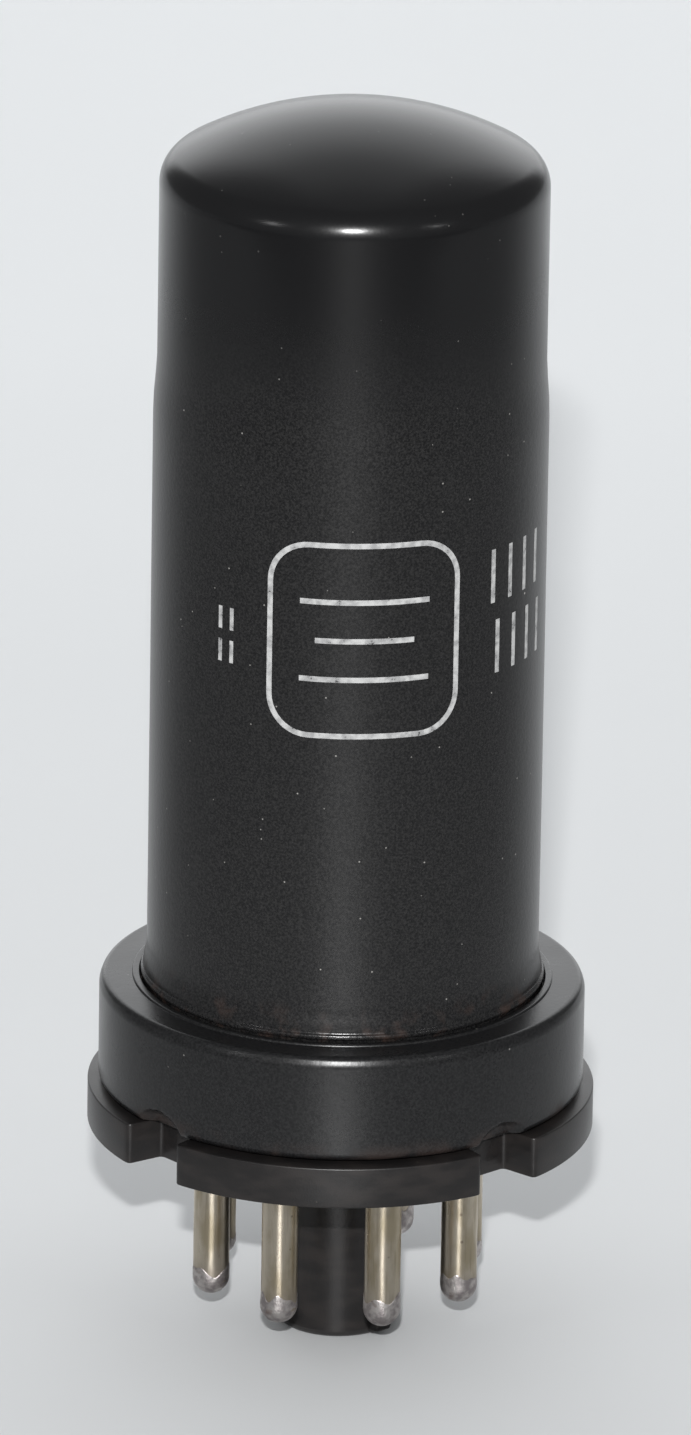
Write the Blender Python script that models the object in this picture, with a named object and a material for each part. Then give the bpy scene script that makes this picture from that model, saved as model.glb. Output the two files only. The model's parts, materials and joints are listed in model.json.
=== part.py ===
"""Metal-envelope vacuum tube on an eight-pin octal base, with the pentode mount that it holds.

Metres, +Z up. The origin is the middle of the aligning plug's flat bottom end, and the tube's axis is +Z.
Every piece is made with the key rib towards -Y, and the empty tube_axis then turns the whole tube, so that a
gap between two notches faces -Y. Angles round the axis are in degrees from the key, anticlockwise seen from
above. Pin 1 is the first pin after the key, and pin 8 is the last.
"""

from math import atan2, cos, hypot, pi, radians, sin

import bmesh
import bpy
from mathutils import Vector

mm = 0.001
CLEAR = 0.05 * mm  # air between two pieces that touch on the real tube

# Octal base: the aligning plug, the wafer with its notched rim, and the boss inside the skirt
PLUG_RADIUS = 3.97 * mm
PLUG_LENGTH = 13.97 * mm
PLUG_CHAMFER = 0.35 * mm
PLUG_BORE_RADIUS = 2.9 * mm
PLUG_FLOOR = 1.2 * mm
KEY_TURN = 45  # degrees, anticlockwise seen from above
RIB_REACH = 4.75 * mm
RIB_WIDTH = 1.35 * mm
SEAT_Z = PLUG_LENGTH  # the wafer's lower face, which rests on the socket
WAFER_RADIUS = 16.45 * mm
WAFER_TOP_Z = SEAT_Z + 2.72 * mm
BOSS_RADIUS = 14.8 * mm
BOSS_TOP_Z = WAFER_TOP_Z + 2.6 * mm
NOTCH_COUNT = 4
NOTCH_FLOOR_RADIUS = 13.85 * mm
NOTCH_HALF_ANGLE = 7.9  # degrees
NOTCH_TOP_Z = WAFER_TOP_Z + 1.8 * mm

# Base pins on their circle
PIN_COUNT = 8
PIN_CIRCLE_RADIUS = 8.73 * mm
PIN_PITCH = 360 / PIN_COUNT  # degrees
PIN_RADIUS = 1.18 * mm
PIN_BORE_RADIUS = 0.75 * mm
PIN_LENGTH = 11.25 * mm
PIN_TIP_Z = SEAT_Z - PIN_LENGTH
PIN_HEAD_RADIUS = 1.7 * mm
PIN_HEAD = 0.35 * mm
SOLDER_CAP = 0.6 * mm  # how far the solder stands out of the pin's tube
SOLDER_FILL = 2.4 * mm  # how far it fills the bore, from the tip

# Header skirt: the drawn steel ring that holds the base and traps the shell's flange under its lip
SKIRT_RADIUS = 15.76 * mm
SKIRT_WALL = 0.75 * mm
SKIRT_BOTTOM_Z = WAFER_TOP_Z + 0.15 * mm
SKIRT_TOP_Z = SEAT_Z + 10.0 * mm
SKIRT_LIP_RADIUS = 13.12 * mm
SKIRT_EDGE = 0.4 * mm  # radius of the shoulder
CRIMP_DEPTH = 1.0 * mm
CRIMP_LIFT = 0.45 * mm
CRIMP_HEIGHT = 1.4 * mm

# Shell: the drawn steel can, whose foot goes down through the skirt's lip
SHELL_RADIUS = 12.7 * mm
SHELL_UPPER_RADIUS = 12.48 * mm
SHELL_WALL = 0.6 * mm
SHELL_FOOT_RADIUS = 13.0 * mm
SHELL_FLARE = 1.1 * mm  # height over the skirt where the wall starts to flare
SHELL_FLANGE_RADIUS = 14.3 * mm
SHELL_FLANGE = 0.6 * mm
SHELL_FLANGE_TOP_Z = SKIRT_TOP_Z - SKIRT_WALL - CLEAR
SHELL_FOOT_Z = SHELL_FLANGE_TOP_Z - SHELL_FLANGE
SHELL_STEP_Z = SEAT_Z + 50.47 * mm
SHELL_STEP_HEIGHT = 3.8 * mm
SHOULDER_RADIUS = 2.2 * mm
SHOULDER_Z = SEAT_Z + 63.68 * mm
SHELL_TOP_Z = SEAT_Z + 68.58 * mm

# Header: the steel disc that closes the shell, with its glass-sealed eyelets
HEADER_TOP_Z = SHELL_FOOT_Z - CLEAR
HEADER_BOTTOM_Z = HEADER_TOP_Z - 1.2 * mm
HEADER_RADIUS = SHELL_FLANGE_RADIUS
EYELET_RADIUS = 1.75 * mm
EYELET_WALL = 0.4 * mm
EYELET_FLANGE_RADIUS = 2.25 * mm
EYELET_FLANGE = 0.25 * mm
EYELET_REACH = 0.75 * mm  # how far the sleeve stands out of each face of the header
LEAD_RADIUS = 0.3 * mm
EXHAUST_RADIUS = 2.0 * mm
EXHAUST_BORE_RADIUS = 1.45 * mm
EXHAUST_TIP_Z = 3.6 * mm
EXHAUST_PINCH = 5.5 * mm

# Mount: the electrodes between the two mica spacers
MICA = 0.3 * mm
MICA_RADIUS = 11.4 * mm
MICA_TOOTH_RADIUS = 12.0 * mm
MICA_TEETH = 12
LOWER_MICA_Z = 31.0 * mm
UPPER_MICA_Z = 61.4 * mm
ROD_OVERHANG = 1.0 * mm  # how far the grid rods stand past each mica
GRID_WIRE_RADIUS = 0.1 * mm
POINTS_PER_TURN = 8
GRIDS = {  # name: half width, half depth, rod radius, turns
    "control_grid": (2.3 * mm, 1.35 * mm, 0.32 * mm, 11),
    "screen_grid": (3.5 * mm, 2.2 * mm, 0.32 * mm, 8),
    "suppressor_grid": (4.9 * mm, 3.3 * mm, 0.32 * mm, 5),
}
CATHODE_RADIUS = 0.75 * mm
CATHODE_WALL = 0.13 * mm
COATING = 0.12 * mm
HEATER_RADIUS = 0.13 * mm
HEATER_SPREAD = 0.28 * mm
PLATE_HALF_WIDTH = 6.6 * mm
PLATE_HALF_DEPTH = 4.5 * mm
PLATE_WALL = 0.28 * mm
PLATE_TAB_WIDTH = 2.0 * mm
PLATE_TAB_REACH = 0.9 * mm
PLATE_RIBS = 2
SUPPORT_X = 9.7 * mm
SUPPORT_RADIUS = 0.5 * mm
SUPPORT_TOP_Z = UPPER_MICA_Z + 2.2 * mm
STEM_SHIELD_RADIUS = 5.5 * mm
STEM_SHIELD_HEIGHT = 3.2 * mm
SPACER_SHIELD_RADIUS = 10.4 * mm
GETTER_RADIUS = 2.1 * mm
GETTER_Z = SUPPORT_TOP_Z + 4.2 * mm

# Segments round a full turn
FINE = 40
SKIRT_SEGMENTS = 64
ROUND = 12
SMALL = 10
WIRE_SIDES = 6
OVAL_POINTS = 20

MATERIALS = {  # name: linear colour, roughness, metallic
    "black_enamel": ((0.012, 0.012, 0.013), 0.35, 0.0),
    "black_phenolic": ((0.016, 0.013, 0.012), 0.45, 0.0),
    "plated_brass": ((0.62, 0.56, 0.45), 0.28, 1.0),
    "solder": ((0.45, 0.44, 0.45), 0.5, 1.0),
    "header_steel": ((0.42, 0.42, 0.43), 0.4, 1.0),
    "copper_wire": ((0.8, 0.42, 0.28), 0.35, 1.0),
    "eyelet_alloy": ((0.5, 0.49, 0.47), 0.35, 1.0),
    "seal_glass": ((0.35, 0.45, 0.5), 0.08, 0.0),
    "mica": ((0.72, 0.66, 0.55), 0.25, 0.0),
    "nickel": ((0.6, 0.57, 0.52), 0.3, 1.0),
    "carbonised_nickel": ((0.03, 0.03, 0.032), 0.7, 0.4),
    "grid_wire": ((0.58, 0.56, 0.54), 0.3, 1.0),
    "cathode_oxide": ((0.85, 0.84, 0.8), 0.9, 0.0),
    "heater_alumina": ((0.8, 0.79, 0.77), 0.85, 0.0),
}


def clear_scene():
    for obj in list(bpy.data.objects):
        bpy.data.objects.remove(obj)


def material(name):
    """The Principled material of that name, made on first use."""
    found = bpy.data.materials.get(name)
    if found:
        return found
    colour, roughness, metallic = MATERIALS[name]
    made = bpy.data.materials.new(name)
    made.use_nodes = True
    shader = made.node_tree.nodes["Principled BSDF"]
    shader.inputs["Base Color"].default_value = (*colour, 1.0)
    shader.inputs["Roughness"].default_value = roughness
    shader.inputs["Metallic"].default_value = metallic
    return made


def link(name, data, finish, parent, location=(0, 0, 0)):
    """One named object, with its material, under its parent empty."""
    obj = bpy.data.objects.new(name, data)
    bpy.context.scene.collection.objects.link(obj)
    obj.parent = parent
    obj.location = location
    if finish and not data.materials:
        data.materials.append(material(finish))
    return obj


def empty(name, parent=None, location=(0, 0, 0)):
    obj = bpy.data.objects.new(name, None)
    bpy.context.scene.collection.objects.link(obj)
    obj.parent = parent
    obj.location = location
    return obj


def mesh_from(bm, name, crease_angle=35):
    bmesh.ops.recalc_face_normals(bm, faces=bm.faces)
    mesh = bpy.data.meshes.new(name)
    bm.to_mesh(mesh)
    bm.free()
    mesh.shade_smooth()
    mesh.set_sharp_from_angle(angle=radians(crease_angle))
    return mesh


def around(angle, radius, z=0.0):
    """The point at that radius, with the angle in degrees from the key."""
    turn = radians(angle)
    return Vector((radius * sin(turn), -radius * cos(turn), z))


def pin_angle(number):
    return PIN_PITCH * (number - 0.5)


def notch_angle(index):
    """The notches sit midway between pins, one of them over the key rib."""
    return index * 360 / NOTCH_COUNT


def arc(centre, radius, start, end, steps):
    """Points (r, z) of an arc, with its angles in degrees from +r towards +z."""
    found = []
    for i in range(steps + 1):
        turn = radians(start + (end - start) * i / steps)
        found.append((centre[0] + radius * cos(turn), centre[1] + radius * sin(turn)))
    return found


def turned(name, profile, segments, ring=False, gap=None):
    """A turned mesh: the profile of (r, z) points spun about +Z. A ring's profile is a closed loop.

    A cup's profile leaves the axis and comes back to it, so no edge follows its point number gap.
    """
    bm = bmesh.new()
    points = [bm.verts.new((r, 0, z)) for r, z in profile]
    pairs = list(zip(points, points[1:]))
    if ring:
        pairs.append((points[-1], points[0]))
    edges = [bm.edges.new(pair) for i, pair in enumerate(pairs) if i != gap]
    bmesh.ops.spin(
        bm,
        geom=points + edges,
        cent=(0, 0, 0),
        axis=(0, 0, 1),
        angle=2 * pi,
        steps=segments,
        use_merge=True,
    )
    bmesh.ops.remove_doubles(bm, verts=bm.verts, dist=0.0001 * mm)
    return mesh_from(bm, name)


def prism(bm, outline, low, high):
    """Adds the outline of (x, y) points, extruded from low to high."""
    face = bm.faces.new([bm.verts.new((x, y, low)) for x, y in outline])
    grown = bmesh.ops.extrude_face_region(bm, geom=[face])["geom"]
    moved = [v for v in grown if isinstance(v, bmesh.types.BMVert)]
    bmesh.ops.translate(bm, verts=moved, vec=(0, 0, high - low))


def rod(bm, x, y, radius, low, high, sides):
    """Adds an upright round rod, with a corner towards +X as on a turned piece."""
    turns = [2 * pi * i / sides for i in range(sides)]
    prism(bm, [(x + radius * cos(t), y + radius * sin(t)) for t in turns], low, high)


def rectangle(x, y, width, depth):
    return [
        (x - width / 2, y - depth / 2),
        (x + width / 2, y - depth / 2),
        (x + width / 2, y + depth / 2),
        (x - width / 2, y + depth / 2),
    ]


def tool(name, bm, parent):
    """A hidden shape that a Boolean cuts away or joins on."""
    obj = link(name, mesh_from(bm, name), None, parent)
    obj.hide_render = True
    obj.display_type = "WIRE"
    return obj


def combine(obj, other, operation):
    change = obj.modifiers.new(f"{operation.lower()}_{other.name}", "BOOLEAN")
    change.operation = operation
    change.object = other
    change.solver = "EXACT"


def rounded_path(corners, radius, steps=3):
    """The polyline through these points, with each inner corner turned into a short curve."""
    path = [Vector(corners[0])]
    for before, corner, after in zip(corners, corners[1:], corners[2:]):
        corner = Vector(corner)
        into = Vector(before) - corner
        out = Vector(after) - corner
        reach = min(radius, into.length / 2, out.length / 2)
        start = corner + into.normalized() * reach
        end = corner + out.normalized() * reach
        for i in range(steps + 1):
            t = i / steps
            path.append(start * (1 - t) ** 2 + corner * 2 * t * (1 - t) + end * t**2)
    path.append(Vector(corners[-1]))
    return path


def wire_curve(name, path, radius, bevel_resolution):
    """A round wire along the path, with closed ends."""
    curve = bpy.data.curves.new(name, "CURVE")
    curve.dimensions = "3D"
    curve.bevel_depth = radius
    curve.bevel_resolution = bevel_resolution
    curve.use_fill_caps = True
    spline = curve.splines.new("POLY")
    spline.points.add(len(path) - 1)
    for point, place in zip(spline.points, path):
        point.co = (*place, 1.0)
    return curve


def shell_radius_at(z):
    """Outer radius of the can's straight wall, which narrows softly at the step."""
    share = min(max((z - SHELL_STEP_Z) / SHELL_STEP_HEIGHT + 0.5, 0), 1)
    share = share * share * (3 - 2 * share)
    return SHELL_RADIUS + (SHELL_UPPER_RADIUS - SHELL_RADIUS) * share


def dome(upper_radius, shoulder_radius, top_z, steps):
    """Points (r, z) from the top of the wall over the shoulder to the crown on the axis."""
    reach = upper_radius - shoulder_radius
    rise = top_z - SHOULDER_Z
    crown_radius = (rise**2 + reach**2 - shoulder_radius**2) / (2 * (rise - shoulder_radius))
    crown_z = top_z - crown_radius
    meet = atan2(SHOULDER_Z - crown_z, reach) * 180 / pi
    points = arc((reach, SHOULDER_Z), shoulder_radius, 0, meet, steps)
    return points + arc((0, crown_z), crown_radius, meet, 90, steps)[1:]


def shell_mesh():
    """The can: a weld flange, a foot that flares over the skirt, a wall with a soft step, and a domed end."""
    flare = SKIRT_TOP_Z + SHELL_FLARE
    outer = [
        (SHELL_FLANGE_RADIUS, SHELL_FOOT_Z),
        (SHELL_FLANGE_RADIUS, SHELL_FLANGE_TOP_Z),
        (SHELL_FOOT_RADIUS, SHELL_FLANGE_TOP_Z),
        (SHELL_FOOT_RADIUS, SKIRT_TOP_Z + SHELL_FLARE / 4),
        ((SHELL_FOOT_RADIUS + SHELL_RADIUS) / 2, SKIRT_TOP_Z + SHELL_FLARE / 2),
        (SHELL_RADIUS, flare),
    ]
    step_levels = [SHELL_STEP_Z + SHELL_STEP_HEIGHT * share for share in (-0.5, -0.2, 0.2, 0.5)]
    outer += [(shell_radius_at(z), z) for z in step_levels]
    outer += dome(SHELL_UPPER_RADIUS, SHOULDER_RADIUS, SHELL_TOP_Z, 4)
    inner = dome(SHELL_UPPER_RADIUS - SHELL_WALL, SHOULDER_RADIUS - SHELL_WALL, SHELL_TOP_Z - SHELL_WALL, 2)
    inner = inner[::-1] + [(shell_radius_at(z) - SHELL_WALL, z) for z in (step_levels[-1], step_levels[0])]
    inner.append((SHELL_RADIUS - SHELL_WALL, SHELL_FOOT_Z))
    return turned("shell", outer + inner, FINE, ring=True, gap=len(outer) - 1)


def crimp_share(angle):
    """1 in the middle of a crimp and 0 away from it, by the angle in degrees round the skirt."""
    spacing = 360 / NOTCH_COUNT
    off = abs((angle + spacing / 2) % spacing - spacing / 2)
    share = max(0.0, 1 - off / NOTCH_HALF_ANGLE)
    return share * share * (3 - 2 * share)


def skirt_mesh():
    """The drawn ring. Its lower edge is crimped inwards under the boss, in each notch of the base."""
    inside = SKIRT_RADIUS - SKIRT_WALL
    levels = [SKIRT_BOTTOM_Z + CRIMP_HEIGHT * share for share in (0, 0.5, 1)]
    outer = [(SKIRT_RADIUS, z) for z in levels]
    outer += arc((SKIRT_RADIUS - SKIRT_EDGE, SKIRT_TOP_Z - SKIRT_EDGE), SKIRT_EDGE, 0, 90, 3)
    lip = [(SKIRT_LIP_RADIUS, SKIRT_TOP_Z), (SKIRT_LIP_RADIUS, SKIRT_TOP_Z - SKIRT_WALL)]
    inner = [(inside, SKIRT_TOP_Z - SKIRT_WALL)] + [(inside, z) for z in levels[::-1]]
    mesh = turned("header_skirt", outer + lip + inner, SKIRT_SEGMENTS, ring=True)
    for vertex in mesh.vertices:
        x, y, z = vertex.co
        height = (z - SKIRT_BOTTOM_Z) / CRIMP_HEIGHT
        if height >= 1:
            continue
        fade = 1 - height * height * (3 - 2 * height)
        share = crimp_share(atan2(x, -y) * 180 / pi) * fade
        radius = hypot(x, y)
        scale = (radius - CRIMP_DEPTH * share) / radius
        vertex.co = (x * scale, y * scale, z + CRIMP_LIFT * share * fade)
    return mesh


def octal_base(parent):
    """Moulded base in one piece: plug with its key rib, notched wafer and boss, bored for the pins."""
    profile = [
        (0, 0),
        (PLUG_RADIUS - PLUG_CHAMFER, 0),
        (PLUG_RADIUS, PLUG_CHAMFER),
        (PLUG_RADIUS, SEAT_Z),
        (WAFER_RADIUS, SEAT_Z),
        (WAFER_RADIUS, WAFER_TOP_Z),
        (BOSS_RADIUS, WAFER_TOP_Z),
        (BOSS_RADIUS, BOSS_TOP_Z),
        (PLUG_BORE_RADIUS, BOSS_TOP_Z),
        (PLUG_BORE_RADIUS, PLUG_FLOOR),
        (0, PLUG_FLOOR),
    ]
    base = link("octal_base", turned("octal_base", profile, FINE), "black_phenolic", parent)

    bm = bmesh.new()
    root = (PLUG_BORE_RADIUS + PLUG_RADIUS) / 2
    rib = rectangle(0, -(root + RIB_REACH) / 2, RIB_WIDTH, RIB_REACH - root)
    prism(bm, rib, PLUG_CHAMFER, SEAT_Z + 0.5 * mm)
    combine(base, tool("rib_tool", bm, parent), "UNION")

    bm = bmesh.new()
    for index in range(NOTCH_COUNT):
        outline = []
        for radius, turns in ((NOTCH_FLOOR_RADIUS, (-1, 0, 1)), (WAFER_RADIUS + 1.5 * mm, (1, 0, -1))):
            for turn in turns:
                place = around(notch_angle(index) + turn * NOTCH_HALF_ANGLE, radius)
                outline.append((place.x, place.y))
        prism(bm, outline, SEAT_Z - 1 * mm, NOTCH_TOP_Z)
    combine(base, tool("notch_tool", bm, parent), "DIFFERENCE")

    bm = bmesh.new()
    for number in range(1, PIN_COUNT + 1):
        place = around(pin_angle(number), PIN_CIRCLE_RADIUS)
        rod(bm, place.x, place.y, PIN_RADIUS + CLEAR, SEAT_Z - 1 * mm, BOSS_TOP_Z + 1 * mm, ROUND)
    combine(base, tool("pin_hole_tool", bm, parent), "DIFFERENCE")


def pin_mesh():
    """A drawn tube with a flanged head over the boss and an open lower end that the solder fills."""
    head_z = BOSS_TOP_Z + CLEAR
    end_z = PIN_TIP_Z + SOLDER_CAP
    profile = [
        (PIN_BORE_RADIUS, end_z),
        (PIN_RADIUS - 0.18 * mm, end_z),
        (PIN_RADIUS, end_z + 0.35 * mm),
        (PIN_RADIUS, head_z),
        (PIN_HEAD_RADIUS, head_z),
        (PIN_HEAD_RADIUS, head_z + PIN_HEAD),
        (PIN_BORE_RADIUS, head_z + PIN_HEAD),
    ]
    return turned("base_pin", profile, ROUND, ring=True)


def solder_mesh():
    """The drop that closes a pin: a rounded cap below, and a fill in the bore with the lead's blind hole."""
    cap_z = PIN_TIP_Z + SOLDER_CAP - CLEAR
    cap_radius = PIN_RADIUS - 0.12 * mm
    fill_radius = PIN_BORE_RADIUS - CLEAR
    hole_radius = LEAD_RADIUS + CLEAR
    cap = [
        (cap_radius * sin(radians(t)), cap_z - (cap_z - PIN_TIP_Z) * cos(radians(t)))
        for t in (0, 35, 65, 90)
    ]
    fill = [
        (fill_radius, cap_z),
        (fill_radius, PIN_TIP_Z + SOLDER_FILL),
        (hole_radius, PIN_TIP_Z + SOLDER_FILL),
        (hole_radius, cap_z),
        (0, cap_z),
    ]
    return turned("pin_solder", cap + fill, SMALL)


def eyelet_mesh():
    """The flanged sleeve that holds a glass seal in the header."""
    low = HEADER_BOTTOM_Z - EYELET_REACH
    flange_z = HEADER_TOP_Z + CLEAR
    high = flange_z + EYELET_REACH
    bore = EYELET_RADIUS - EYELET_WALL
    profile = [
        (bore, low),
        (EYELET_RADIUS, low),
        (EYELET_RADIUS, flange_z),
        (EYELET_FLANGE_RADIUS, flange_z),
        (EYELET_FLANGE_RADIUS, flange_z + EYELET_FLANGE),
        (EYELET_RADIUS, flange_z + EYELET_FLANGE),
        (EYELET_RADIUS, high),
        (bore, high),
    ]
    return turned("eyelet", profile, SMALL, ring=True)


def glass_bead_mesh():
    """The glass seal: a bead bored for the lead, with a raised meniscus at each end."""
    low = HEADER_BOTTOM_Z - EYELET_REACH + 0.2 * mm
    high = HEADER_TOP_Z + EYELET_REACH - 0.1 * mm
    radius = EYELET_RADIUS - EYELET_WALL - CLEAR
    bore = LEAD_RADIUS + CLEAR
    meniscus = 0.35 * mm
    profile = [
        (bore, low - meniscus),
        ((bore + radius) / 2, low - meniscus / 2),
        (radius, low),
        (radius, high),
        ((bore + radius) / 2, high + meniscus / 2),
        (bore, high + meniscus),
    ]
    return turned("glass_bead", profile, SMALL, ring=True)


def header(parent):
    """The disc that the shell's flange is welded to, with a hole for each eyelet and the exhaust tube."""
    bore = EXHAUST_RADIUS + CLEAR
    profile = [
        (bore, HEADER_BOTTOM_Z),
        (HEADER_RADIUS, HEADER_BOTTOM_Z),
        (HEADER_RADIUS, HEADER_TOP_Z),
        (bore, HEADER_TOP_Z),
    ]
    disc = link("header", turned("header", profile, FINE, ring=True), "header_steel", parent)
    bm = bmesh.new()
    for number in range(2, PIN_COUNT + 1):
        place = around(pin_angle(number), PIN_CIRCLE_RADIUS)
        low = HEADER_BOTTOM_Z - 1 * mm
        rod(bm, place.x, place.y, EYELET_RADIUS + CLEAR, low, HEADER_TOP_Z + 1 * mm, SMALL)
    combine(disc, tool("eyelet_hole_tool", bm, parent), "DIFFERENCE")


def exhaust_tube_mesh():
    """The pumping tube, open inside the header and pinched flat and closed inside the plug."""
    pinch_top = EXHAUST_TIP_Z + EXHAUST_PINCH
    levels = [EXHAUST_TIP_Z + EXHAUST_PINCH * s for s in (0.25, 0.5, 0.75, 1.0)]
    outer = [(0, EXHAUST_TIP_Z), (EXHAUST_RADIUS, EXHAUST_TIP_Z)]
    outer += [(EXHAUST_RADIUS, z) for z in levels + [HEADER_TOP_Z]]
    inner = [(EXHAUST_BORE_RADIUS, z) for z in [HEADER_TOP_Z] + levels[::-1]]
    inner += [(0, levels[0])]
    mesh = turned("exhaust_tube", outer + inner, ROUND)
    for vertex in mesh.vertices:
        share = min(max((pinch_top - vertex.co.z) / EXHAUST_PINCH, 0), 1)
        share = share * share * (3 - 2 * share)
        vertex.co.x *= 1 + 0.25 * share
        vertex.co.y *= 1 - 0.75 * share
    return mesh


def rod_low():
    return LOWER_MICA_Z - ROD_OVERHANG


def rod_high():
    return UPPER_MICA_Z + MICA + ROD_OVERHANG


def grid(name, parent):
    """A lateral wire wound in an oval round two side rods."""
    half_width, half_depth, rod_radius, turns = GRIDS[name]
    low = LOWER_MICA_Z + MICA + 0.9 * mm
    high = UPPER_MICA_Z - 0.9 * mm
    count = turns * POINTS_PER_TURN
    path = []
    for i in range(count + 1):
        turn = 2 * pi * i / POINTS_PER_TURN
        path.append((half_width * cos(turn), half_depth * sin(turn), low + (high - low) * i / count))
    helix = link(f"{name}_helix", wire_curve(name, path, GRID_WIRE_RADIUS, 0), None, parent)
    mesh = bpy.data.meshes.new_from_object(helix)
    bpy.data.objects.remove(helix)
    wound = link(name, mesh, "grid_wire", parent)
    for side in (-1, 1):
        bm = bmesh.new()
        rod(bm, side * half_width, 0, rod_radius, rod_low(), rod_high(), WIRE_SIDES)
        combine(wound, tool(f"{name}_rod_tool{side}", bm, parent), "UNION")


def mica(name, z, parent):
    """A stamped spacer whose teeth bear on the can, pierced for every electrode."""
    outline = []
    pitch = 360 / MICA_TEETH
    for tooth in range(MICA_TEETH):
        middle = pitch * tooth
        for off, radius in ((-0.5, MICA_RADIUS), (-0.25, MICA_RADIUS), (0, MICA_TOOTH_RADIUS), (0.25, MICA_RADIUS)):
            place = around(middle + off * pitch, radius)
            outline.append((place.x, place.y))
    bm = bmesh.new()
    prism(bm, outline, z, z + MICA)
    spacer = link(name, mesh_from(bm, name), "mica", parent)

    holes = [(0, 0, CATHODE_RADIUS + CLEAR)]
    for side in (-1, 1):
        holes += [(side * g[0], 0, g[2] + CLEAR) for g in GRIDS.values()]
        holes.append((side * SUPPORT_X, 0, SUPPORT_RADIUS + CLEAR))
    bm = bmesh.new()
    for x, y, radius in holes:
        rod(bm, x, y, radius, z - 1 * mm, z + MICA + 1 * mm, SMALL if x == 0 else WIRE_SIDES)
    for side in (-1, 1):
        middle = side * (PLATE_HALF_DEPTH - PLATE_WALL / 2)
        slot = rectangle(0, middle, PLATE_TAB_WIDTH + 0.2 * mm, PLATE_WALL + 0.3 * mm)
        prism(bm, slot, z - 1 * mm, z + MICA + 1 * mm)
    combine(spacer, tool(f"{name}_hole_tool", bm, parent), "DIFFERENCE")


def oval(half_width, half_depth):
    """A flattened oval that is straight across its wide faces."""
    flat = half_width - half_depth
    points = []
    for i in range(OVAL_POINTS):
        turn = 2 * pi * (i + 0.5) / OVAL_POINTS
        x = half_depth * cos(turn)
        points.append((x + (flat if x > 0 else -flat), half_depth * sin(turn)))
    return points


def plate(parent):
    """The anode: an oval sleeve with a wing to each side support, and tabs through both micas."""
    low = LOWER_MICA_Z + MICA + 0.2 * mm
    high = UPPER_MICA_Z - 0.2 * mm
    bm = bmesh.new()
    prism(bm, oval(PLATE_HALF_WIDTH, PLATE_HALF_DEPTH), low, high)
    anode = link("plate", mesh_from(bm, "plate"), "carbonised_nickel", parent)

    wing_end = SUPPORT_X - SUPPORT_RADIUS - CLEAR
    wing_start = PLATE_HALF_WIDTH - PLATE_WALL
    tab_middle = PLATE_HALF_DEPTH - PLATE_WALL / 2
    bm = bmesh.new()
    for side in (-1, 1):
        middle = side * (wing_start + wing_end) / 2
        wing = rectangle(middle, 0, wing_end - wing_start, PLATE_WALL)
        prism(bm, wing, low + 1 * mm, high - 1 * mm)
    combine(anode, tool("plate_wing_tool", bm, parent), "UNION")
    bm = bmesh.new()
    for side in (-1, 1):
        tab = rectangle(0, side * tab_middle, PLATE_TAB_WIDTH, PLATE_WALL * 0.9)
        prism(bm, tab, LOWER_MICA_Z - PLATE_TAB_REACH, UPPER_MICA_Z + MICA + PLATE_TAB_REACH)
    combine(anode, tool("plate_tab_tool", bm, parent), "UNION")
    for index in range(PLATE_RIBS):
        bm = bmesh.new()
        height = low + (high - low) * (index + 1) / (PLATE_RIBS + 1)
        rib = oval(PLATE_HALF_WIDTH + 0.25 * mm, PLATE_HALF_DEPTH + 0.25 * mm)
        prism(bm, rib, height - 0.4 * mm, height + 0.4 * mm)
        combine(anode, tool(f"plate_rib_tool_{index + 1}", bm, parent), "UNION")
    bm = bmesh.new()
    bore = oval(PLATE_HALF_WIDTH - PLATE_WALL, PLATE_HALF_DEPTH - PLATE_WALL)
    prism(bm, bore, low - 0.1 * mm, high + 0.1 * mm)
    combine(anode, tool("plate_bore_tool", bm, parent), "DIFFERENCE")


def cathode(parent):
    """The nickel sleeve and the oxide coating on the length between the grids."""
    low = rod_low()
    high = rod_high()
    bore = CATHODE_RADIUS - CATHODE_WALL
    sleeve = [(bore, low), (CATHODE_RADIUS, low), (CATHODE_RADIUS, high), (bore, high)]
    link("cathode_sleeve", turned("cathode_sleeve", sleeve, SMALL, ring=True), "nickel", parent)
    inside = CATHODE_RADIUS + CLEAR / 2
    outside = inside + COATING
    bottom = LOWER_MICA_Z + MICA + 1.2 * mm
    top = UPPER_MICA_Z - 1.2 * mm
    coat = [(inside, bottom), (outside, bottom + COATING), (outside, top - COATING), (inside, top)]
    link("cathode_coating", turned("cathode_coating", coat, SMALL, ring=True), "cathode_oxide", parent)


def heater_end(side):
    """Where a heater leg leaves the cathode and meets its lead."""
    return Vector((side * 1.3 * mm, -0.9 * mm, LOWER_MICA_Z - 2.4 * mm))


def heater_path():
    """The coated heater: two hairpins folded inside the sleeve, with both legs spread below it."""
    low = rod_low() + 0.4 * mm
    top = rod_high() - 0.6 * mm
    fold = low + 1.2 * mm
    s = HEATER_SPREAD
    corners = [heater_end(1), (s, -s, low - 1.2 * mm), (s, -s, top), (s, s, top), (s, s, fold)]
    corners += [(-s, s, fold), (-s, s, top), (-s, -s, top), (-s, -s, low - 1.2 * mm), heater_end(-1)]
    return rounded_path(corners, s, 2)


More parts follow.
